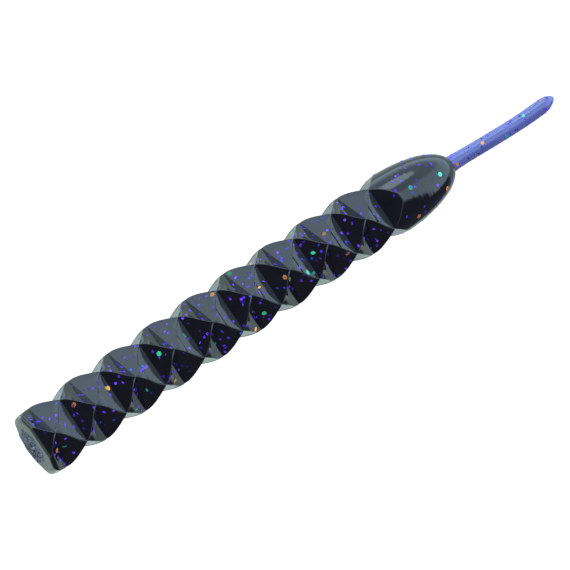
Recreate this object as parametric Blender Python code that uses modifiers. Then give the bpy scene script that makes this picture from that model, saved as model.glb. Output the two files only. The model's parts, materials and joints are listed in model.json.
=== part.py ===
"""A soft plastic finesse worm: nine faceted lobes, a tapered end and a thin tail.

The worm is one soft casting that bends at its narrow places, so it is modelled as its stiff
sections (lobes, tapered end, tail lengths) and the short necks between them that do the bending.
X runs along the worm from the centre of its flat head face to the tail, and +Z is up.
Every section's local X is the worm's axis and its origin is the pivot that it bends about.
"""

from math import asin, cos, pi, radians, sin, sqrt

import bmesh
import bpy
from mathutils import Matrix, Vector

MM = 0.001

# Driving dimensions
BODY_RADIUS = 3.85 * MM
PITCH = 5.55 * MM
LOBES = 9
HEAD_CUT = 0.87 * MM         # the flat head face is this far past where a waist would be
TAPER_LENGTH = 11.85 * MM    # from the last waist to the tail's root
TAPER_SHOULDER = 1.9 * MM    # from the last waist to where the taper starts to narrow
TAPER_POWER = 2.15           # the taper is a superellipse of this power
TAIL_LENGTH = 15.6 * MM
TAIL_RADIUS = 0.92 * MM
TAIL_PARTS = 5
ROLL = radians(22.5)         # a lobe's front ridge stands this far from straight up
BODY_BOW = 0.35 * MM         # the axis rises this much at the body's middle
TAIL_DROOP = 0.8 * MM        # the tail's axis starts down at this depth per tail length
TAIL_CURL = 0.61 * MM        # and its tip curls back by this much
ROOT_FIT = 1.15              # the taper ends where it has this many times the tail's radius

# Bending places
NECK_HALF = 0.725 * MM
TAIL_NECK_HALF = 0.25 * MM
GAP = 0.05 * MM

# Mesh fineness
ARC_STEPS = 7
NECK_STEPS = 2
ROUND_STEPS = 48
TAIL_ROUND_STEPS = 20
TIP_STEPS = 6
TAPER_STEPS = 12
SHARP_EDGE = radians(35)
MERGE = 0.001 * MM

WAIST_SHARE = 1 / sqrt(2)    # a waist is the mid-lobe square turned by 45 degrees
ARC_SAG = BODY_RADIUS * (1 - WAIST_SHARE)
ARC_RADIUS = ((PITCH / 2) ** 2 + ARC_SAG**2) / (2 * ARC_SAG)
BODY_LENGTH = LOBES * PITCH - HEAD_CUT + TAPER_LENGTH
TAIL_PITCH = TAIL_LENGTH / TAIL_PARTS
BOW_DIRECTION = Vector((0, cos(ROLL), sin(ROLL)))


def clear_scene():
    for obj in list(bpy.data.objects):
        bpy.data.objects.remove(obj, do_unlink=True)


def new_collection(name):
    collection = bpy.data.collections.new(name)
    bpy.context.scene.collection.children.link(collection)
    return collection


def plastic(name, colour, roughness):
    material = bpy.data.materials.new(name)
    material.use_nodes = True
    shader = material.node_tree.nodes["Principled BSDF"]
    shader.inputs["Base Color"].default_value = (*colour, 1)
    shader.inputs["Roughness"].default_value = roughness
    shader.inputs["Metallic"].default_value = 0
    material.diffuse_color = (*colour, 1)
    return material


def waist(number):
    """Where along X the given waist lies; waist 0 would be just ahead of the head face."""
    return number * PITCH - HEAD_CUT


def centre(x):
    """The worm's axis: straight in lobe 1, a slight bow, then a tail that droops and curls back."""
    straight = waist(1)
    if x <= straight:
        rise = 0
    elif x <= BODY_LENGTH:
        rise = BODY_BOW * sin(pi * (x - straight) / (BODY_LENGTH - straight))
    else:
        share = (x - BODY_LENGTH) / TAIL_LENGTH
        rise = TAIL_CURL * share**5 - TAIL_DROOP * share
    return Vector((x, 0, 0)) + rise * BOW_DIRECTION


def place(obj, pivot, start, end):
    """Puts the origin on the axis at pivot, with local X along the axis from start to end."""
    along = (centre(end) - centre(start)).normalized()
    turn = Vector((1, 0, 0)).rotation_difference(along).to_matrix()
    turned_to_ridge = (turn @ Matrix.Rotation(ROLL, 3, "X")).to_4x4()
    obj.matrix_world = Matrix.Translation(centre(pivot)) @ turned_to_ridge


def reach(x):
    """How far one family of four flats stands off the axis: a chain of arcs, V-shaped at waists."""
    from_middle = (x - waist(0)) % PITCH - PITCH / 2
    return BODY_RADIUS - ARC_RADIUS + sqrt(ARC_RADIUS**2 - from_middle**2)


def lobe_section(x, pivot):
    """The eight corners where the flats cut the diagonal flats, which are half a pitch out of step."""
    flat = reach(x)
    diagonal = reach(x + PITCH / 2)
    corner = sqrt(2) * diagonal - flat
    ring = []
    for quarter in range(4):
        turn = Matrix.Rotation(quarter * pi / 2, 3, "X")
        ring += [turn @ Vector((x - pivot, side * corner, flat)) for side in (1, -1)]
    return ring


def square_section(x, pivot, half):
    corners = [(1, 1), (-1, 1), (-1, -1), (1, -1)]
    return [Vector((x - pivot, half * y, half * z)) for y, z in corners]


def stations(start, end, steps):
    return [start + (end - start) * step / steps for step in range(steps + 1)]


def loft(name, rings):
    """A closed solid through rings of matching corners, with flat ends."""
    mesh = bmesh.new()
    loops = [[mesh.verts.new(point) for point in ring] for ring in rings]
    count = len(loops[0])
    for near, far in zip(loops, loops[1:]):
        for i in range(count):
            j = (i + 1) % count
            mesh.faces.new((near[i], near[j], far[j], far[i]))
    mesh.faces.new(list(reversed(loops[0])))
    mesh.faces.new(loops[-1])
    bmesh.ops.remove_doubles(mesh, verts=mesh.verts, dist=MERGE)
    bmesh.ops.dissolve_degenerate(mesh, edges=mesh.edges, dist=MERGE)
    bmesh.ops.recalc_face_normals(mesh, faces=mesh.faces)
    data = bpy.data.meshes.new(name)
    mesh.to_mesh(data)
    mesh.free()
    return bpy.data.objects.new(name, data)


def turned(name, profile, steps):
    """A solid turned about local X, from (along, radius) points that run from its start to its end."""
    data = bpy.data.meshes.new(name)
    points = [(along, 0, radius) for along, radius in reversed(profile)]
    edges = [(i, i + 1) for i in range(len(points) - 1)]
    data.from_pydata(points, edges, [])
    obj = bpy.data.objects.new(name, data)
    screw = obj.modifiers.new("Turn", "SCREW")
    screw.axis = "X"
    screw.steps = steps
    screw.render_steps = steps
    screw.use_merge_vertices = True
    screw.merge_threshold = MERGE
    return obj


def make_lobe(number, collection, material):
    """Lobe 1 starts at the head face, and every other lobe a neck's half length past its waist."""
    first = number == 1
    start = 0 if first else waist(number - 1) + NECK_HALF + GAP
    middle = waist(number) - PITCH / 2
    end = waist(number) - NECK_HALF - GAP
    pivot = 0 if first else waist(number - 1)
    along = stations(start, middle, ARC_STEPS) + stations(middle, end, ARC_STEPS)[1:]
    obj = loft(f"lobe_{number}", [lobe_section(x, pivot) for x in along])
    obj.data.materials.append(material)
    collection.objects.link(obj)
    place(obj, pivot, max(waist(number - 1), 0), waist(number))


def make_neck(number, collection, material):
    """The bending place at a waist: a short length of the faceted body on both sides of its V."""
    pivot = waist(number)
    along = stations(pivot - NECK_HALF, pivot, NECK_STEPS)
    along += stations(pivot, pivot + NECK_HALF, NECK_STEPS)[1:]
    obj = loft(f"neck_{number}", [lobe_section(x, pivot) for x in along])
    obj.data.materials.append(material)
    collection.objects.link(obj)
    place(obj, pivot, waist(number) - NECK_HALF, waist(number) + NECK_HALF)


def taper_radius(x):
    shoulder = waist(LOBES) + TAPER_SHOULDER
    share = max(0, x - shoulder) / (BODY_LENGTH - shoulder)
    return BODY_RADIUS * (1 - share**TAPER_POWER) ** (1 / TAPER_POWER)


def make_taper(collection, cutters, material):
    """The round tapered end, cut by the last waist's four flats, with a flat end at the tail."""
    pivot = waist(LOBES)
    start = pivot + NECK_HALF + GAP
    shoulder = pivot + TAPER_SHOULDER
    root_share = (1 - (ROOT_FIT * TAIL_RADIUS / BODY_RADIUS) ** TAPER_POWER) ** (1 / TAPER_POWER)
    last_angle = asin(root_share)
    profile = [(start - pivot, 0), (start - pivot, BODY_RADIUS)]
    for step in range(TAPER_STEPS + 1):
        share = sin(last_angle * step / TAPER_STEPS)
        x = shoulder + share * (BODY_LENGTH - shoulder)
        profile.append((x - pivot, taper_radius(x)))
    profile.append((profile[-1][0], 0))
    obj = turned("body_taper", profile, ROUND_STEPS)
    obj.data.materials.append(material)
    collection.objects.link(obj)

    flats_end = pivot + PITCH / 2
    along = stations(start - GAP, flats_end, ARC_STEPS)
    rings = [square_section(x, pivot, reach(x)) for x in along]
    clear = 2 * BODY_RADIUS  # wide enough to leave the rest of the taper uncut
    rings.append(square_section(flats_end, pivot, clear))
    rings.append(square_section(BODY_LENGTH + TAIL_RADIUS, pivot, clear))
    form = loft("taper_flats", rings)
    form.hide_render = True
    form.display_type = "WIRE"
    cutters.objects.link(form)
    cut = obj.modifiers.new("Flats", "BOOLEAN")
    cut.operation = "INTERSECT"
    cut.object = form
    for each in (obj, form):
        place(each, pivot, pivot, BODY_LENGTH)


def tail_pivot(number):
    """Where tail part NUMBER bends from what is ahead of it."""
    return BODY_LENGTH + GAP + TAIL_NECK_HALF + (number - 1) * TAIL_PITCH


def make_tail_neck(number, collection, material):
    pivot = tail_pivot(number)
    ends = (-TAIL_NECK_HALF, TAIL_NECK_HALF)
    profile = [(ends[0], 0), (ends[0], TAIL_RADIUS), (ends[1], TAIL_RADIUS), (ends[1], 0)]
    obj = turned(f"tail_neck_{number}", profile, TAIL_ROUND_STEPS)
    obj.data.materials.append(material)
    collection.objects.link(obj)
    place(obj, pivot, pivot - TAIL_PITCH / 4, pivot + TAIL_PITCH / 4)


def make_tail_part(number, collection, material):
    """A length of tail; the last one ends in a round tip."""
    pivot = tail_pivot(number)
    start = TAIL_NECK_HALF + GAP
    profile = [(start, 0), (start, TAIL_RADIUS)]
    if number < TAIL_PARTS:
        length = tail_pivot(number + 1) - pivot
        end = length - TAIL_NECK_HALF - GAP
        profile += [(end, TAIL_RADIUS), (end, 0)]
    else:
        length = BODY_LENGTH + TAIL_LENGTH - pivot
        for step in range(TIP_STEPS + 1):
            angle = pi / 2 * step / TIP_STEPS
            profile.append((length - TAIL_RADIUS * (1 - sin(angle)), TAIL_RADIUS * cos(angle)))
        profile[-1] = (length, 0)
    obj = turned(f"tail_{number}", profile, TAIL_ROUND_STEPS)
    obj.data.materials.append(material)
    collection.objects.link(obj)
    place(obj, pivot, pivot, pivot + length)


def shade():
    """Round surfaces are smooth, and edges between facets stay sharp."""
    for obj in bpy.data.objects:
        if obj.type == "MESH" and not obj.hide_render:
            obj.data.shade_smooth()
            obj.data.set_sharp_from_angle(angle=SHARP_EDGE)


def main():
    clear_scene()
    parts = new_collection("soft_plastic_worm")
    cutters = new_collection("cutters")
    smoke = plastic("smoke_black_soft_plastic", (0.012, 0.013, 0.018), 0.12)
    violet = plastic("violet_soft_plastic", (0.09, 0.1, 0.5), 0.15)
    for number in range(1, LOBES + 1):
        make_lobe(number, parts, smoke)
        make_neck(number, parts, smoke)
    make_taper(parts, cutters, smoke)
    for number in range(1, TAIL_PARTS + 1):
        make_tail_neck(number, parts, violet)
        make_tail_part(number, parts, violet)
    shade()


main()
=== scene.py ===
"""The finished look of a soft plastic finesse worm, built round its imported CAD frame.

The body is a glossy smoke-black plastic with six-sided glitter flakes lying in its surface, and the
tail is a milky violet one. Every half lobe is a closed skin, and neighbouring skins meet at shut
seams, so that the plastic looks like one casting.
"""

import json
import random
from math import acos, atan2, cos, exp, pi, radians, sin, sqrt

import bmesh
import bpy
from mathutils import Matrix, Quaternion, Vector, noise

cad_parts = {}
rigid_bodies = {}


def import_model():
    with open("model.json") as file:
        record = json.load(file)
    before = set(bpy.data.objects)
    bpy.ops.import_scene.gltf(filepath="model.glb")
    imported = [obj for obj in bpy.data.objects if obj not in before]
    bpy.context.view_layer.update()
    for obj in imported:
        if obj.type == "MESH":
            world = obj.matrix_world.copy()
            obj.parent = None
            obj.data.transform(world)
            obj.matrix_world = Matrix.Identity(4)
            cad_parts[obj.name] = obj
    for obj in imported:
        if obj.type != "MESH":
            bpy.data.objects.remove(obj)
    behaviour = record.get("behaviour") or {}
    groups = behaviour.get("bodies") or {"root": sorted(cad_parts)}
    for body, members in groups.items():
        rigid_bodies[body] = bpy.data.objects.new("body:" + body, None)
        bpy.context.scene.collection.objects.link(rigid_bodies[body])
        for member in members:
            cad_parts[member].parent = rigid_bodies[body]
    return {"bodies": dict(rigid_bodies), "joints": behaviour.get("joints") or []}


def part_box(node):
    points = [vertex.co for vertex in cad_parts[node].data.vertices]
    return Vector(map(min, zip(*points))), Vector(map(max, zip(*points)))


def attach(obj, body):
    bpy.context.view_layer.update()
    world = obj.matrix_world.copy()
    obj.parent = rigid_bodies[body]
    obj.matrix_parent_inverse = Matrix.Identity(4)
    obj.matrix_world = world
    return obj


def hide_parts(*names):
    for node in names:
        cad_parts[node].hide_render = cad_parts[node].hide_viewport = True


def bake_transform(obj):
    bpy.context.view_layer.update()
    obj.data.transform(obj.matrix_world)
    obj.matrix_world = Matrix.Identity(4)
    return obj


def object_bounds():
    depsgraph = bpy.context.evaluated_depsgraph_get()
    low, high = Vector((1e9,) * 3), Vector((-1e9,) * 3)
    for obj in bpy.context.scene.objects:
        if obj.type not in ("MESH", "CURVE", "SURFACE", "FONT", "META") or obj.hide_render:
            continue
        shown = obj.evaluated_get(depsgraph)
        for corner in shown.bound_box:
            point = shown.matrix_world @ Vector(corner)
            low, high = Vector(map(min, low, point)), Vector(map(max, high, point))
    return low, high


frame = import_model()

MM = 0.001
cad_low, cad_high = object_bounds()

# Driving dimensions of the body, the same as the CAD model's
BODY_RADIUS = 3.85 * MM
ROLL = radians(22.5)
TAPER_SHOULDER = 1.9 * MM
TAPER_POWER = 2.15
TAIL_RADIUS = 0.92 * MM

# Skin
SEAM = 0.003 * MM            # half the gap between the ends of two neighbouring skins
TONGUE = 0.03 * MM           # how far a skin reaches in under the next one, which shuts the seam
TONGUE_SHARE = 0.985         # and how big that end is beside the skin's own
RIDGE = 0.13 * MM            # how far the bead along a facet's corner reaches in from it
BEAD = 0.045 * MM            # how far it stands up
CREST = 0.52                 # the rounded share of a lobe's profile, out from its widest place
HALF_STEPS = 14
ROUND_STEPS = 18             # per quarter turn of the taper
TAIL_SIDES = 32
# Where this attribute is 1, the smoke material paints a paler highlight colour and gives a rougher
# finish
RIDGED = "ridged"            # the mesh attribute that is 1 along the beads
# The bead's profile, from its foot to beside the corner: share of the way back, share of its height
BEAD_PROFILE = ((1.0, 0.0), (0.75, 0.45), (0.4, 0.9))
BEAD_POINTS = 2 * len(BEAD_PROFILE) + 1      # the profile on both sides and the corner between
DOUBLE = 0.0005 * MM         # points closer than this are one point

JOINTS = {joint["name"]: joint for joint in frame["joints"]}
LOBES = sum(name.startswith("lobe_") for name in frame["bodies"])
TAIL_PARTS = sum(name.startswith("tail_neck_") for name in frame["bodies"])


def pivot(name):
    return Vector(JOINTS[name]["pos_m"])


WAISTS = [pivot(f"neck_{n}_pitch") for n in range(1, LOBES + 1)]
PITCH = WAISTS[1].x - WAISTS[0].x
TAIL_PIVOTS = [pivot(f"tail_{n}_pitch") for n in range(1, TAIL_PARTS + 1)]
TAPER_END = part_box("body_taper")[1].x


def tail_tip():
    """The tail's end: on from the last pivot through the middle of the last CAD length."""
    low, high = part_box(f"tail_{TAIL_PARTS}")
    start, middle = TAIL_PIVOTS[-1], (low + high) / 2
    return start + (middle - start) * ((high.x - start.x) / (middle.x - start.x))


AXIS = [Vector((0, 0, 0)), *WAISTS, *TAIL_PIVOTS, tail_tip()]


def centre(x):
    """The worm's axis at x: a smooth curve through its pivots."""
    last = len(AXIS) - 2
    i = next((k for k in range(last) if x < AXIS[k + 1].x), last)
    before, after = AXIS[max(i - 1, 0)], AXIS[min(i + 2, last + 1)]
    a, b = AXIS[i], AXIS[i + 1]
    span = b.x - a.x
    lean_a = (b - before) / (b.x - before.x) * span
    lean_b = (after - a) / (after.x - a.x) * span
    t = (x - a.x) / span
    point = (
        a * (2 * t**3 - 3 * t**2 + 1)
        + lean_a * (t**3 - 2 * t**2 + t)
        + b * (3 * t**2 - 2 * t**3)
        + lean_b * (t**3 - t**2)
    )
    point.x = x
    return point


def around(x, across, out):
    """The point at x that lies this far across the worm and out towards its front ridge."""
    turned = Matrix.Rotation(ROLL, 3, "X") @ Vector((0, across, out))
    return centre(x) + turned


WAIST_SAG = BODY_RADIUS * (1 - 1 / sqrt(2))


def reach(x):
    """How far one family of four flats stands off the axis: round at its crest, V-shaped at waists."""
    share = abs((x - WAISTS[0].x) % PITCH / PITCH * 2 - 1)
    bend = 1 / (CREST * (2 - CREST))
    sag = bend * (share**2 if share < CREST else CREST * (2 * share - CREST))
    return BODY_RADIUS - WAIST_SAG * sag


def ridge_points(corner, towards_a, towards_b, length_a, length_b):
    """A facet corner with the fine raised bead that the mould leaves along it."""
    back_a, back_b = min(RIDGE, length_a / 2), min(RIDGE, length_b / 2)
    out = -(towards_a + towards_b).normalized() * BEAD * min(back_a, back_b) / RIDGE
    points = []
    for share, lift in BEAD_PROFILE:
        points.append(corner + towards_a * back_a * share + out * lift)
    points.append(corner + out)
    for share, lift in reversed(BEAD_PROFILE):
        points.append(corner + towards_b * back_b * share + out * lift)
    return points


def facet_section(x):
    """The body's section: four flats and four diagonal flats with beaded corners between."""
    flat = reach(x)
    diagonal = reach(x + PITCH / 2)
    corner = max(sqrt(2) * diagonal - flat, 0)
    other = max(sqrt(2) * flat - diagonal, 0)
    section = []
    slant = Vector((1, -1)) / sqrt(2)
    for quarter in range(4):
        turn = Matrix.Rotation(-quarter * pi / 2, 2)
        left, right = Vector((-corner, flat)), Vector((corner, flat))
        inward = Vector((1, 0))
        points = ridge_points(left, Vector((-1, -1)) / sqrt(2), inward, other, corner)
        points += ridge_points(right, -inward, slant, corner, other)
        section += [turn @ p for p in points]
    return section


def facet_ring(x):
    return [around(x, p.x, p.y) for p in facet_section(x)]


def on_facet_bead(x, index):
    """Whether this point of a facet ring is a corner or next to one, on top of its bead."""
    return abs(index % BEAD_POINTS - len(BEAD_PROFILE)) <= 1


def on_no_bead(x, index):
    return False


def stations(start, end, steps):
    return [start + (end - start) * k / steps for k in range(steps + 1)]


def finish_mesh(name, mesh, material):
    """Merges doubled points, keeps edges sharp beside flat faces, and makes the object."""
    bmesh.ops.remove_doubles(mesh, verts=mesh.verts, dist=DOUBLE)
    bmesh.ops.dissolve_degenerate(mesh, edges=mesh.edges, dist=DOUBLE)
    bmesh.ops.recalc_face_normals(mesh, faces=mesh.faces)
    for edge in mesh.edges:
        edge.smooth = all(face.smooth for face in edge.link_faces)
    data = bpy.data.meshes.new(name)
    mesh.to_mesh(data)
    mesh.free()
    data.materials.append(material)
    obj = bpy.data.objects.new(name, data)
    bpy.context.scene.collection.objects.link(obj)
    return obj


def tongue(ring):
    """A ring's slightly smaller copy, which shuts the seam from inside the next skin."""
    core = sum(ring, Vector()) / len(ring)
    return [core + (p - core) * TONGUE_SHARE + Vector((TONGUE, 0, 0)) for p in ring]


def skin(name, rings, material, on_bead=on_no_bead, has_tongue=True):
    """A closed skin through the rings. The points that on_bead(x, index) picks are marked as ridged."""
    if has_tongue:
        rings = [*rings, tongue(rings[-1])]
    mesh = bmesh.new()
    ridged = mesh.verts.layers.float.new(RIDGED)
    loops = [[mesh.verts.new(p) for p in ring] for ring in rings]
    count = len(loops[0])
    for loop in loops:
        for index, vertex in enumerate(loop):
            vertex[ridged] = 1 if on_bead(vertex.co.x, index) else 0
    for near, far in zip(loops, loops[1:]):
        for i in range(count):
            j = (i + 1) % count
            face = mesh.faces.new((near[i], near[j], far[j], far[i]))
            face.smooth = not has_tongue or far is not loops[-1]
    mesh.faces.new(loops[0])
    mesh.faces.new(loops[-1])
    obj = finish_mesh(name, mesh, material)
    weigh = obj.modifiers.new("Even facets", "WEIGHTED_NORMAL")
    weigh.keep_sharp = True
    return obj


# ---------------------------------------------------------------- materials


SMOKE_DARK = (0.0025, 0.0025, 0.0035)
SMOKE_CLOUD = (0.006, 0.004, 0.010)
SMOKE_ROUGHNESS = (0.05, 0.13)   # from its glossiest to its dullest places
# painted highlight: a paler colour along the beads, in place of the light that the rounded ridges catch
BEAD_PAINTED_HIGHLIGHT = (0.028, 0.034, 0.038)
BEAD_ROUGHNESS = 0.2
VIOLET_DEEP = (0.090, 0.095, 0.31)
VIOLET_MILKY = (0.12, 0.13, 0.37)
VIOLET_ROUGHNESS = 0.22
# painted shade: the torn patch's colour where its bump is lowest, in the hollows
TORN_HOLLOW_PAINTED_SHADE = (0.004, 0.004, 0.008)
TORN_VIOLET = (0.035, 0.04, 0.13)
# painted highlight: its colour where the bump is highest, on the lumps' tops
TORN_TOP_PAINTED_HIGHLIGHT = (0.16, 0.20, 0.26)
TORN_LEVELS = (0.46, 0.54, 0.66)     # noise levels that have those three colours
TORN_ROUGHNESS = 0.38
# painted glow: the strength of the light the flakes give off, in place of their sparkle
FLAKE_PAINTED_GLOW = 0.5
FLAKE_ROUGHNESS = 0.1
FLAKE_SPECULAR = 0.3
SPECKLE_SCALE = 4000         # noise cells to a metre
SPECKLE_NOISE = (0.3, 0.7)   # the noise levels that most of a flake has
SPECKLE_LEVELS = (0.7, 1.15)     # and the share of its dye's brightness at each
# A Mix node's sockets for colours and for plain numbers
COLOUR_A, COLOUR_B, COLOUR_OUT = 6, 7, 2
NUMBER_A, NUMBER_B, NUMBER_OUT = 2, 3, 0
DYE = "dye"                  # the mesh attribute that holds each flake's colour
DYES = {
    "orange": (0.95, 0.36, 0.07),
    "copper": (0.42, 0.15, 0.05),
    "mint": (0.06, 0.85, 0.42),
    "green": (0.005, 0.34, 0.13),
    "teal": (0.01, 0.26, 0.24),
    "lime": (0.50, 0.55, 0.03),
    "blue": (0.02, 0.07, 0.62),
    "violet": (0.10, 0.02, 0.66),
    "lilac": (0.20, 0.05, 0.92),
    "dusk": (0.03, 0.01, 0.20),
}


def new_material(name):
    material = bpy.data.materials.new(name)
    material.use_nodes = True
    return material, material.node_tree, material.node_tree.nodes["Principled BSDF"]


def wave_bump(tree, shader, scale, strength, distance, detail):
    """A soft uneven surface, as moulded plastisol has. Returns its noise, which colours can follow."""
    place = tree.nodes.new("ShaderNodeTexCoord")
    ripple = tree.nodes.new("ShaderNodeTexNoise")
    ripple.inputs["Scale"].default_value = scale
    ripple.inputs["Detail"].default_value = detail
    bump = tree.nodes.new("ShaderNodeBump")
    bump.inputs["Strength"].default_value = strength
    bump.inputs["Distance"].default_value = distance
    tree.links.new(place.outputs["Object"], ripple.inputs["Vector"])
    tree.links.new(ripple.outputs["Fac"], bump.inputs["Height"])
    tree.links.new(bump.outputs["Normal"], shader.inputs["Normal"])
    return ripple


def violet_plastic():
    """Milky violet plastic, cloudier in places."""
    material, tree, shader = new_material("violet_plastic")
    ripple = wave_bump(tree, shader, scale=450, strength=0.1, distance=0.01 * MM, detail=0)
    cast = tree.nodes.new("ShaderNodeMix")
    cast.data_type = "RGBA"
    cast.inputs[COLOUR_A].default_value = (*VIOLET_DEEP, 1)
    cast.inputs[COLOUR_B].default_value = (*VIOLET_MILKY, 1)
    tree.links.new(ripple.outputs["Fac"], cast.inputs["Factor"])
    tree.links.new(cast.outputs[COLOUR_OUT], shader.inputs["Base Color"])
    shader.inputs["Roughness"].default_value = VIOLET_ROUGHNESS
    return material


def smoke_plastic():
    """Near-black plastic with a smooth, slightly rippled skin, duller along its beads, where a paler
    colour is painted on as a highlight.
    """
    material, tree, shader = new_material("smoke_black_plastic")
    ripple = wave_bump(tree, shader, scale=700, strength=0.2, distance=0.006 * MM, detail=0)
    gloss = tree.nodes.new("ShaderNodeMapRange")
    gloss.inputs["To Min"].default_value = SMOKE_ROUGHNESS[0]
    gloss.inputs["To Max"].default_value = SMOKE_ROUGHNESS[1]
    cast = tree.nodes.new("ShaderNodeMix")
    cast.data_type = "RGBA"
    cast.inputs[COLOUR_A].default_value = (*SMOKE_DARK, 1)
    cast.inputs[COLOUR_B].default_value = (*SMOKE_CLOUD, 1)
    bead = tree.nodes.new("ShaderNodeAttribute")
    bead.attribute_name = RIDGED
    # painted highlight: the paler colour mixed in along the beads
    painted_bead_highlight = tree.nodes.new("ShaderNodeMix")
    painted_bead_highlight.data_type = "RGBA"
    painted_bead_highlight.inputs[COLOUR_B].default_value = (*BEAD_PAINTED_HIGHLIGHT, 1)
    dull = tree.nodes.new("ShaderNodeMix")
    dull.inputs[NUMBER_B].default_value = BEAD_ROUGHNESS
    tree.links.new(ripple.outputs["Fac"], gloss.inputs["Value"])
    tree.links.new(ripple.outputs["Fac"], cast.inputs["Factor"])
    tree.links.new(cast.outputs[COLOUR_OUT], painted_bead_highlight.inputs[COLOUR_A])
    tree.links.new(gloss.outputs["Result"], dull.inputs[NUMBER_A])
    for mix in (painted_bead_highlight, dull):
        tree.links.new(bead.outputs["Fac"], mix.inputs["Factor"])
    tree.links.new(painted_bead_highlight.outputs[COLOUR_OUT], shader.inputs["Base Color"])
    tree.links.new(dull.outputs[NUMBER_OUT], shader.inputs["Roughness"])
    return material


def torn_plastic():
    """The plastic's inside, rough and scattering, where it tore, with painted shade in its hollows and a
    painted highlight on its lumps.
    """
    material, tree, shader = new_material("torn_violet_black")
    ripple = wave_bump(tree, shader, scale=2600, strength=0.7, distance=0.08 * MM, detail=3)
    shades = tree.nodes.new("ShaderNodeValToRGB")
    ramp = shades.color_ramp.elements
    # the colours follow the bump's height: painted shade low, violet between, painted highlight high
    ramp[0].position, ramp[0].color = TORN_LEVELS[0], (*TORN_HOLLOW_PAINTED_SHADE, 1)
    ramp[1].position, ramp[1].color = TORN_LEVELS[1], (*TORN_VIOLET, 1)
    ramp.new(TORN_LEVELS[2]).color = (*TORN_TOP_PAINTED_HIGHLIGHT, 1)
    tree.links.new(ripple.outputs["Fac"], shades.inputs["Fac"])
    tree.links.new(shades.outputs["Color"], shader.inputs["Base Color"])
    shader.inputs["Roughness"].default_value = TORN_ROUGHNESS
    return material


def foil_plastic():
    """Dyed foil, a little speckled, with a faint painted glow of its own that stands in for its sparkle.
    """
    material, tree, shader = new_material("glitter_foil")
    dye = tree.nodes.new("ShaderNodeVertexColor")
    dye.layer_name = DYE
    place = tree.nodes.new("ShaderNodeTexCoord")
    speckle = tree.nodes.new("ShaderNodeTexNoise")
    speckle.inputs["Scale"].default_value = SPECKLE_SCALE
    level = tree.nodes.new("ShaderNodeMapRange")
    level.inputs["From Min"].default_value = SPECKLE_NOISE[0]
    level.inputs["From Max"].default_value = SPECKLE_NOISE[1]
    level.inputs["To Min"].default_value = SPECKLE_LEVELS[0]
    level.inputs["To Max"].default_value = SPECKLE_LEVELS[1]
    tint = tree.nodes.new("ShaderNodeVectorMath")
    tint.operation = "SCALE"
    tree.links.new(place.outputs["Object"], speckle.inputs["Vector"])
    tree.links.new(speckle.outputs["Fac"], level.inputs["Value"])
    tree.links.new(dye.outputs["Color"], tint.inputs[0])
    tree.links.new(level.outputs["Result"], tint.inputs["Scale"])
    tree.links.new(tint.outputs["Vector"], shader.inputs["Base Color"])
    # painted glow in the flake's own dye colour
    tree.links.new(tint.outputs["Vector"], shader.inputs["Emission Color"])
    shader.inputs["Roughness"].default_value = FLAKE_ROUGHNESS
    shader.inputs["Specular IOR Level"].default_value = FLAKE_SPECULAR
    shader.inputs["Emission Strength"].default_value = FLAKE_PAINTED_GLOW
    return material


smoke = smoke_plastic()
torn = torn_plastic()
foil = foil_plastic()
violet = violet_plastic()


# ---------------------------------------------------------------- glitter

BIG_FLAKE = 0.3 * MM         # centre to corner
SMALL_FLAKE = 0.175 * MM
FLAKE_RISE = 0.012 * MM      # a flake's top stands this far out of the skin
FLAKE_SINK = 2 * FLAKE_RISE  # and its underside lies this far in
FLAKE_SIDES = 6
UNEVEN = 0.03 * MM           # a flake isn't laid over an edge that drops more than this
NORMAL_STEP = 0.04 * MM      # how far apart along the worm a surface's slope is measured
NORMAL_TURN = 0.01           # and round it, in radians
SLIMNESS = (1.0, 1.0, 0.85, 0.65, 0.4)   # a flake's width beside its length, as if tilted in the skin
DYE_DEPTHS = (0.35, 1.0)     # the dullest and the brightest flake of a dye
LOBE_BIG, LOBE_SMALL = 5, 48         # flakes tried in each half lobe
TAPER_BIG, TAPER_SMALL = 14, 130     # and in the taper
NOSE_BARE = 1.2 * MM         # the end of the taper is too steep for flakes
BIG_DYES = (
    "orange", "orange", "orange", "mint", "mint", "mint", "teal", "teal", "green", "green",
    "copper", "copper", "blue", "lime",
)
SMALL_DYES = ("violet", "violet", "violet", "lilac", "lilac", "blue", "dusk", "dusk", "dusk")
shaker = random.Random(7)


def facet_reach(x, direction):
    """How far the body reaches from its axis at x, this many radians round from the front ridge."""
    direction %= pi / 2
    flat, diagonal = reach(x), reach(x + PITCH / 2)
    flat_reach = flat / cos(min(direction, pi / 2 - direction))
    return min(flat_reach, diagonal / cos(direction - pi / 4))


def on_surface(surface, x, direction):
    out = surface(x, direction)
    return around(x, out * sin(direction), out * cos(direction))


def surface_normal(surface, x, direction):
    """The surface's normal, which may point either way."""
    ahead, behind = [on_surface(surface, x + s, direction) for s in (NORMAL_STEP, -NORMAL_STEP)]
    left, right = [on_surface(surface, x, direction + t) for t in (NORMAL_TURN, -NORMAL_TURN)]
    return (ahead - behind).cross(left - right).normalized()


def lay_flake(surface, x, direction, size, slim, turn):
    """The six corners of a flake laid on the surface, or None where it would bridge an edge."""
    at = on_surface(surface, x, direction)
    normal = surface_normal(surface, x, direction)
    if normal.dot(at - centre(x)) < 0:
        normal.negate()
    lie = normal.to_track_quat("Z", "Y").to_matrix()
    corners = []
    for k in range(FLAKE_SIDES):
        angle = k * pi / 3
        flat = Vector((size * cos(angle), slim * size * sin(angle), 0))
        corner = at + lie @ (Matrix.Rotation(turn, 3, "Z") @ flat)
        offset = Matrix.Rotation(-ROLL, 3, "X") @ (corner - centre(corner.x))
        away = Vector((offset.y, offset.z)).length
        bearing = atan2(offset.y, offset.z) % (2 * pi)
        if abs(away - surface(corner.x, bearing)) > UNEVEN:
            return None
        corners.append(corner)
    return corners, normal


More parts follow.
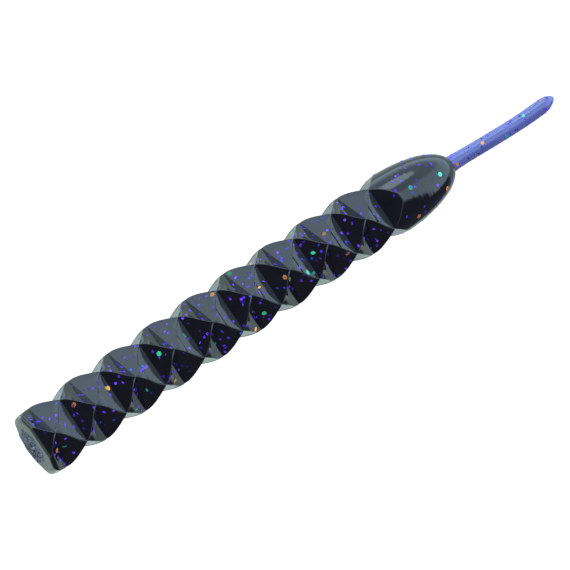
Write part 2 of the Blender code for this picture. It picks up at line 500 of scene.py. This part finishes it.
def add_flake(mesh, corners, normal, dye):
    """One six-sided flake let into the skin."""
    layer = mesh.loops.layers.float_color[DYE]
    top = [mesh.verts.new(p + normal * FLAKE_RISE) for p in corners]
    low = [mesh.verts.new(p - normal * FLAKE_SINK) for p in corners]
    faces = [mesh.faces.new(top), mesh.faces.new(list(reversed(low)))]
    for k in range(FLAKE_SIDES):
        j = (k + 1) % FLAKE_SIDES
        faces.append(mesh.faces.new((top[k], low[k], low[j], top[j])))
    for face in faces:
        for loop in face.loops:
            loop[layer] = (*dye, 1)


def make_glitter(name, surface, start, end, big, small, scale=1.0):
    """Flakes strewn between two stations. A flake that would bridge an edge is left out."""
    mesh = bmesh.new()
    mesh.loops.layers.float_color.new(DYE)
    left = big + small
    while left:
        size = scale * (BIG_FLAKE if left > small else SMALL_FLAKE)
        dye = shaker.choice(BIG_DYES if left > small else SMALL_DYES)
        slim = shaker.choice(SLIMNESS)
        x = shaker.uniform(start + size, end - size)
        laid = lay_flake(surface, x, shaker.uniform(0, 2 * pi), size, slim, shaker.uniform(0, pi))
        left -= 1
        if laid:
            deep = shaker.uniform(*DYE_DEPTHS)
            add_flake(mesh, *laid, [c * deep for c in DYES[dye]])
    bmesh.ops.recalc_face_normals(mesh, faces=mesh.faces)
    data = bpy.data.meshes.new(name)
    mesh.to_mesh(data)
    mesh.free()
    data.materials.append(foil)
    obj = bpy.data.objects.new(name, data)
    bpy.context.scene.collection.objects.link(obj)
    return obj


# ---------------------------------------------------------------- the body


def middle(number):
    """Where along X a lobe is widest."""
    return WAISTS[number - 1].x - PITCH / 2


HEAD_RIM = 0.32 * MM         # the radius that rounds over the cut end's edge
RIM_STEPS = 6
OVAL_LENGTH = 1.1 * MM       # how far back the facets fade into the oval of the cut end
HEAD_WIDTH = 3.8 * MM        # the cut end is wider across the worm than the lobe's own flats
TORN_RADIUS = 2.6 * MM
TORN_BELOW = 0.75 * MM       # how far the torn patch lies towards the back ridge
TORN_ROUGH = 0.22 * MM       # how tall its lumps can be
TORN_HUB = 0.04 * MM         # how far its middle stands out of the cut end
TORN_SINK = 0.03 * MM        # and how far its edge lies in
TORN_CIRCLES, TORN_SIDES = 14, 72
OUTLINE_WANDER = 0.16        # share of its radius that the patch's outline wanders
OUTLINE_WAVES = 2.2          # noise cells round the outline
OUTLINE_SLICE = 7            # which slice of the noise it follows
COARSE_LUMPS, FINE_LUMPS = 1.9, 4.5      # noise cells to a millimetre
FINE_SHARE = 0.6             # the fine lumps' height beside the coarse ones'
TORN_FADE = 0.2              # the outer share of the patch, where its lumps sink to nothing


def head_section(x, inset=0.0):
    """A section of the first half lobe, which runs out to a smooth oval at the cut end."""
    wide = 1 + (HEAD_WIDTH / reach(x) - 1) * (1 - min(x / middle(1), 1)) ** 0.5
    oval = max(0.0, 1 - x / OVAL_LENGTH) ** 2
    section = []
    for point in facet_section(x):
        point.x *= wide
        bearing = atan2(point.x / HEAD_WIDTH, point.y / reach(x))
        smooth = Vector((HEAD_WIDTH * sin(bearing), reach(x) * cos(bearing)))
        point = point.lerp(smooth, oval)
        section.append(point * (1 - inset / point.length))
    return section


def head_ring(x, inset=0.0):
    return [around(x, p.x, p.y) for p in head_section(x, inset)]


def head_reach(x, direction):
    """How far the first half lobe reaches: where a ray this way crosses its section."""
    ray = Vector((sin(direction), cos(direction)))
    section = head_section(x)
    for a, b in zip(section, section[1:] + section[:1]):
        side_a, side_b = ray.cross(a), ray.cross(b)
        if side_a * side_b <= 0 and side_a != side_b and (a + b).dot(ray) > 0:
            return a.lerp(b, side_a / (side_a - side_b)).length
    return reach(x)


def make_head(name):
    """The first half lobe, cut off square, with its rim rounded over."""
    rings = []
    for step in range(RIM_STEPS + 1):
        angle = pi / 2 * step / RIM_STEPS
        x = HEAD_RIM * (1 - cos(angle))
        rings.append(head_ring(x, HEAD_RIM * (1 - sin(angle))))
    rings += [head_ring(x) for x in stations(HEAD_RIM, middle(1) - SEAM, HALF_STEPS)[1:]]
    return skin(name, rings, smoke, on_facet_bead)


def make_torn_patch():
    """The rough place on the cut end where the casting was torn from its runner."""
    mesh = bmesh.new()
    hub = mesh.verts.new(around(-TORN_HUB, 0, -TORN_BELOW))
    circles = []
    for step in range(1, TORN_CIRCLES + 1):
        share = step / TORN_CIRCLES
        circle = []
        for k in range(TORN_SIDES):
            bearing = 2 * pi * k / TORN_SIDES
            wave = Vector((cos(bearing) * OUTLINE_WAVES, sin(bearing) * OUTLINE_WAVES, OUTLINE_SLICE))
            radius = TORN_RADIUS * share * (1 + OUTLINE_WANDER * noise.noise(wave))
            across, out = radius * sin(bearing), radius * cos(bearing) - TORN_BELOW
            place = Vector((across, out, 0)) / MM
            coarse, fine = noise.noise(place * COARSE_LUMPS), noise.noise(place * FINE_LUMPS)
            lumps = abs(coarse) + FINE_SHARE * abs(fine)
            lift = TORN_ROUGH * lumps * min(1, (1 - share) / TORN_FADE)
            circle.append(mesh.verts.new(around(TORN_SINK - lift, across, out)))
        circles.append(circle)
    for k in range(TORN_SIDES):
        j = (k + 1) % TORN_SIDES
        mesh.faces.new((hub, circles[0][k], circles[0][j]))
        for near, far in zip(circles, circles[1:]):
            mesh.faces.new((near[k], far[k], far[j], near[j]))
    for face in mesh.faces:
        face.smooth = True
    obj = finish_mesh("torn_end", mesh, torn)
    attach(obj, "lobe_1")


def make_front_half(number):
    """From a waist to the lobe's widest place."""
    name = f"lobe_{number}_front_skin"
    if number == 1:
        obj = make_head(name)
        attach(obj, "lobe_1")
    else:
        waist = WAISTS[number - 2]
        rings = [facet_ring(x) for x in stations(waist.x + SEAM, middle(number) - SEAM, HALF_STEPS)]
        obj = skin(name, rings, smoke, on_facet_bead)
        centre(middle(number))
        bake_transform(obj)
    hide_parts(f"lobe_{number}")
    start = HEAD_RIM if number == 1 else WAISTS[number - 2].x
    surface = head_reach if number == 1 else facet_reach
    name, stop = f"lobe_{number}_front_glitter", middle(number)
    glitter = make_glitter(name, surface, start, stop, LOBE_BIG, LOBE_SMALL)
    if number == 1:
        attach(glitter, "lobe_1")
    else:
        waist = WAISTS[number - 2]
        centre(middle(number))
        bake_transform(glitter)


def make_rear_half(number):
    """From the lobe's widest place to its waist."""
    waist = WAISTS[number - 1]
    rings = [facet_ring(x) for x in stations(middle(number) + SEAM, waist.x - SEAM, HALF_STEPS)]
    obj = skin(f"lobe_{number}_rear_skin", rings, smoke, on_facet_bead)
    centre(middle(number))
    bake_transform(obj)
    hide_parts(f"lobe_{number}", f"neck_{number}")
    name, start = f"lobe_{number}_rear_glitter", middle(number)
    glitter = make_glitter(name, facet_reach, start, waist.x, LOBE_BIG, LOBE_SMALL)
    centre(middle(number))
    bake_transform(glitter)


SHOULDER = WAISTS[-1].x + TAPER_SHOULDER     # where the taper starts to narrow
NOSE_POINT = TAPER_END + 0.05 * MM           # where its profile would close, just past its end
NOSE_RINGS = 110             # stations along the round nose
NOSE_RIPPLE = 0.012 * MM     # depth of the fine rings across it
NOSE_RIPPLE_LENGTH = 0.3 * MM
NOSE_RIPPLE_TURNS = 1.6      # how quickly they change round the nose
QUARTER_POINTS = ROUND_STEPS + 3     # a taper ring's quarter: two on the flat, then the arc's


def taper_radius(x):
    share = min(max(0, x - SHOULDER) / (NOSE_POINT - SHOULDER), 1)
    return BODY_RADIUS * (1 - share**TAPER_POWER) ** (1 / TAPER_POWER)


def nose_ripple(x, direction):
    """How far the fine rings reach in: none at the flats' end and none where the tail joins."""
    share = min(max(0, x - SHOULDER) / (TAPER_END - SHOULDER), 1)
    turn_a, turn_b = NOSE_RIPPLE_TURNS * cos(direction), NOSE_RIPPLE_TURNS * sin(direction)
    rings = noise.noise(Vector((x / NOSE_RIPPLE_LENGTH, turn_a, turn_b)))
    return NOSE_RIPPLE * (rings - 1) * 4 * share * (1 - share)


def taper_ring(x):
    """Round, cut by the last waist's four flats until they run out half a pitch on."""
    radius = taper_radius(x)
    from_waist = x - WAISTS[-1].x
    flat = reach(x) if from_waist < PITCH / 2 else radius
    edge = acos(min(flat / radius, 1))
    ring = []
    for quarter in range(4):
        turn = Matrix.Rotation(-quarter * pi / 2, 2)
        half = radius * sin(edge)
        inner = max(half - RIDGE, half / 2)
        points = [Vector((-inner, flat)), Vector((inner, flat))] if flat < radius else []
        if not points:
            points = [Vector((0, radius))] * 2
        for k in range(ROUND_STEPS + 1):
            angle = edge + (pi / 2 - 2 * edge) * k / ROUND_STEPS
            out = radius + nose_ripple(x, angle + quarter * pi / 2)
            points.append(Vector((out * sin(angle), out * cos(angle))))
        ring += [turn @ p for p in points]
    return [around(x, p.x, p.y) for p in ring]


def on_taper_bead(x, index):
    """Each quarter of a taper ring is two flat points and an arc, whose ends are its corners."""
    on_corner = index % QUARTER_POINTS in (2, QUARTER_POINTS - 1)
    return on_corner and x < WAISTS[-1].x + PITCH / 2 and reach(x) < taper_radius(x)


def taper_depth(x, direction):
    """How far the taper reaches from its axis, as far as its flats let it."""
    if x - WAISTS[-1].x > PITCH / 2:
        return taper_radius(x)
    direction %= pi / 2
    return min(reach(x) / cos(min(direction, pi / 2 - direction)), taper_radius(x))


def make_taper():
    start = WAISTS[-1].x + SEAM
    flats_end = WAISTS[-1].x + PITCH / 2
    rings = [taper_ring(x) for x in stations(start, flats_end, HALF_STEPS)]
    for step in range(1, NOSE_RINGS + 1):
        share = sin(pi / 2 * step / NOSE_RINGS)
        x = flats_end + share * (TAPER_END - flats_end)
        rings.append(taper_ring(x))
    obj = skin("body_taper_skin", rings, smoke, on_taper_bead, has_tongue=False)
    centre(flats_end)
    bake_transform(obj)
    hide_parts("body_taper")
    begin, end = WAISTS[-1].x, TAPER_END - NOSE_BARE
    glitter = make_glitter("body_taper_glitter", taper_depth, begin, end, TAPER_BIG, TAPER_SMALL)
    centre(flats_end)
    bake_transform(glitter)


# ---------------------------------------------------------------- the tail


TAIL_STEPS = 10
TIP_STEPS = 14
TAIL_FLAKES = 0.8            # flakes this much smaller lie well on so thin a tail
TAIL_FLAKE_SPACING = 0.14 * MM   # of the small ones, along the tail
TAIL_BIG = 2                 # big flakes tried in each length
TIP_BARE = 0.6 * MM          # the end of the tip is too narrow for flakes
ROOT_DEPTH = 0.3 * MM        # how far the tail is sunk in the nose
ROOT_BEND = 0.35 * MM        # past the first pivot, where the root has bent all it does
TIP_LENGTH = 2.2 * MM        # how far past the first pivot the root runs
ROOT_SWELL = 0.12            # share of its radius that the tail gains where it leaves the nose
ROOT_LENGTH = 1.2 * MM       # in which the swell falls to about a third
TIP_BLUNTNESS = 0.6          # half would be an ellipse's end, and more is sharper


def tail_radius(x):
    """A little thicker at its root, even along its length, and narrowing to a blunt point."""
    swell = 1 + ROOT_SWELL * exp(-max(x - TAPER_END, 0) / ROOT_LENGTH)
    gone = max(1 - (AXIS[-1].x - x) / TIP_LENGTH, 0)
    return TAIL_RADIUS * swell * (1 - min(gone, 1) ** 2) ** TIP_BLUNTNESS


def tail_ring(x):
    radius = tail_radius(x)
    angles = [2 * pi * k / TAIL_SIDES for k in range(TAIL_SIDES)]
    return [around(x, radius * sin(a), radius * cos(a)) for a in angles]


def tail_reach(x, direction):
    """The tail is round, so its reach is the same in every direction."""
    return tail_radius(x)


def make_tail_piece(name, start, end, is_tip=False):
    """One length of the tail and its flakes."""
    along = stations(start, end, TAIL_STEPS)
    if is_tip:
        along = [start + (end - start) * sin(pi / 2 * k / TIP_STEPS) for k in range(TIP_STEPS)]
    rings = [tail_ring(x) for x in along]
    obj = skin(f"{name}_skin", rings, violet, has_tongue=not is_tip)
    small = round((end - start) / TAIL_FLAKE_SPACING)
    stop = end - TIP_BARE if is_tip else end
    glitter = make_glitter(f"{name}_glitter", tail_reach, start, stop, TAIL_BIG, small, TAIL_FLAKES)
    return obj, glitter


def make_tail():
    """A root that comes out of the nose, then each length of the tail in two skins that meet half way.
    """
    bend_end = TAIL_PIVOTS[0].x + ROOT_BEND
    root = make_tail_piece("tail_root", TAPER_END - ROOT_DEPTH, bend_end - SEAM)
    for piece in root:
        centre(TAPER_END)
        centre(bend_end)
        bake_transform(piece)
    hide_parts("tail_neck_1")
    tip = AXIS[-1].x
    for number in range(1, TAIL_PARTS + 1):
        here = centre(bend_end) if number == 1 else TAIL_PIVOTS[number - 1]
        last = number == TAIL_PARTS
        half_way = (TAIL_PIVOTS[number - 1].x + (tip if last else TAIL_PIVOTS[number].x)) / 2
        front = make_tail_piece(f"tail_{number}_front", here.x + SEAM, half_way - SEAM)
        for piece in front:
            centre(half_way)
            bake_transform(piece)
        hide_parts(f"tail_{number}", f"tail_neck_{number}")
        stop = tip if last else TAIL_PIVOTS[number].x - SEAM
        for piece in make_tail_piece(f"tail_{number}_rear", half_way + SEAM, stop, last):
            if last:
                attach(piece, f"tail_{number}")
            else:
                centre(half_way)
                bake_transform(piece)


# ---------------------------------------------------------------- floor, light and camera


FLOOR_SIZE = 6               # metres
FLOOR_LIGHT = 1.2
TENT_LIGHT = (1.75, 2.4, 2.85)
TENT_DIM = (1.1, 1.4, 1.65)      # the tent's cloth round the top light's frame
TOP_LIGHT = (3.4, 4.5, 5.0)
FLOOR_GLEAM = (0.66, 0.86, 0.80)
ROOM_LIGHT = (0.13, 0.14, 0.18)  # the dark side, where the camera stands
TENT_FACING = Vector((0.6, 0.8, 0))
FLOOR_FACING = Vector((0.3, 1, 0)).normalized()
TOP_FACING = Vector((0.42, 0.48, 0.75)).normalized()
# Where each light fades in, as cosines of the angle from the way it faces
TENT_EDGE = (-0.30, -0.18)
FLOOR_EDGE = (-0.25, -0.08)
HORIZON = (-0.14, 0.02)
TOP_FRAME = (0.72, 0.88)
TOP_EDGE = (0.962, 0.985)
UP = (0, 0, 1)


def make_floor():
    """Pale and evenly bright. What it would mirror is left to the light tent.

    It lies a whole worm's length below, so that the worm doesn't reach it however far it bends down.
    """
    length = cad_high.x - cad_low.x
    bpy.ops.mesh.primitive_plane_add(size=FLOOR_SIZE, location=(0, 0, cad_low.z - length))
    floor = bpy.context.object
    floor.name = "floor"
    floor.visible_glossy = False
    material, tree, shader = new_material("floor_white")
    tree.nodes.remove(shader)
    glow = tree.nodes.new("ShaderNodeEmission")
    glow.inputs["Strength"].default_value = FLOOR_LIGHT
    tree.links.new(glow.outputs["Emission"], tree.nodes["Material Output"].inputs["Surface"])
    floor.data.materials.append(material)


def make_tent():
    """A white light tent round the back and the tail, open where the camera stands."""
    world = bpy.data.worlds.new("light_tent")
    bpy.context.scene.world = world
    world.use_nodes = True
    tree = world.node_tree
    link = tree.links.new
    direction = tree.nodes.new("ShaderNodeTexCoord").outputs["Generated"]

    def lit_from(facing, edge):
        along = tree.nodes.new("ShaderNodeVectorMath")
        along.operation = "DOT_PRODUCT"
        along.inputs[1].default_value = facing
        step = tree.nodes.new("ShaderNodeMapRange")
        step.interpolation_type = "SMOOTHSTEP"
        step.inputs["From Min"].default_value = edge[0]
        step.inputs["From Max"].default_value = edge[1]
        link(direction, along.inputs[0])
        link(along.outputs["Value"], step.inputs["Value"])
        return step.outputs["Result"]

    def mixed(share, dark, bright):
        mix = tree.nodes.new("ShaderNodeMix")
        mix.data_type = "RGBA"
        link(share, mix.inputs["Factor"])
        for socket, colour in ((mix.inputs[COLOUR_A], dark), (mix.inputs[COLOUR_B], bright)):
            if isinstance(colour, tuple):
                socket.default_value = (*colour, 1)
            else:
                link(colour, socket)
        return mix.outputs[COLOUR_OUT]

    walls = mixed(lit_from(TENT_FACING, TENT_EDGE), ROOM_LIGHT, TENT_LIGHT)
    underfoot = mixed(lit_from(FLOOR_FACING, FLOOR_EDGE), ROOM_LIGHT, FLOOR_GLEAM)
    round_about = mixed(lit_from(UP, HORIZON), underfoot, walls)
    dimmed = mixed(lit_from(TOP_FACING, TOP_FRAME), round_about, TENT_DIM)
    overall = mixed(lit_from(TOP_FACING, TOP_EDGE), dimmed, TOP_LIGHT)
    link(overall, tree.nodes["Background"].inputs["Color"])


CAMERA_TARGET = Vector((34.93, -0.85, 0)) * MM
CAMERA_DISTANCE = 348.2 * MM
CAMERA_AZIMUTH = radians(-44.96)
CAMERA_ELEVATION = radians(60.47)
CAMERA_ROLL = radians(6.79)
CAMERA_LENS = 193.0          # millimetres
CAMERA_NEAR = 10 * MM


def make_camera():
    data = bpy.data.cameras.new("camera")
    data.lens = CAMERA_LENS
    data.clip_start = CAMERA_NEAR
    camera = bpy.data.objects.new("camera", data)
    bpy.context.scene.collection.objects.link(camera)
    back = Vector((
        sin(CAMERA_AZIMUTH) * cos(CAMERA_ELEVATION),
        -cos(CAMERA_AZIMUTH) * cos(CAMERA_ELEVATION),
        sin(CAMERA_ELEVATION),
    ))
    look = (-back).to_track_quat("-Z", "Y") @ Quaternion((0, 0, 1), CAMERA_ROLL)
    camera.location = CAMERA_TARGET + back * CAMERA_DISTANCE
    camera.rotation_euler = look.to_euler()
    bpy.context.scene.camera = camera
    bpy.context.scene.view_settings.view_transform = "Standard"


# ---------------------------------------------------------------- build

for number in range(1, LOBES + 1):
    make_front_half(number)
    make_rear_half(number)
make_torn_patch()
make_taper()
make_tail()
make_floor()
make_tent()
make_camera()
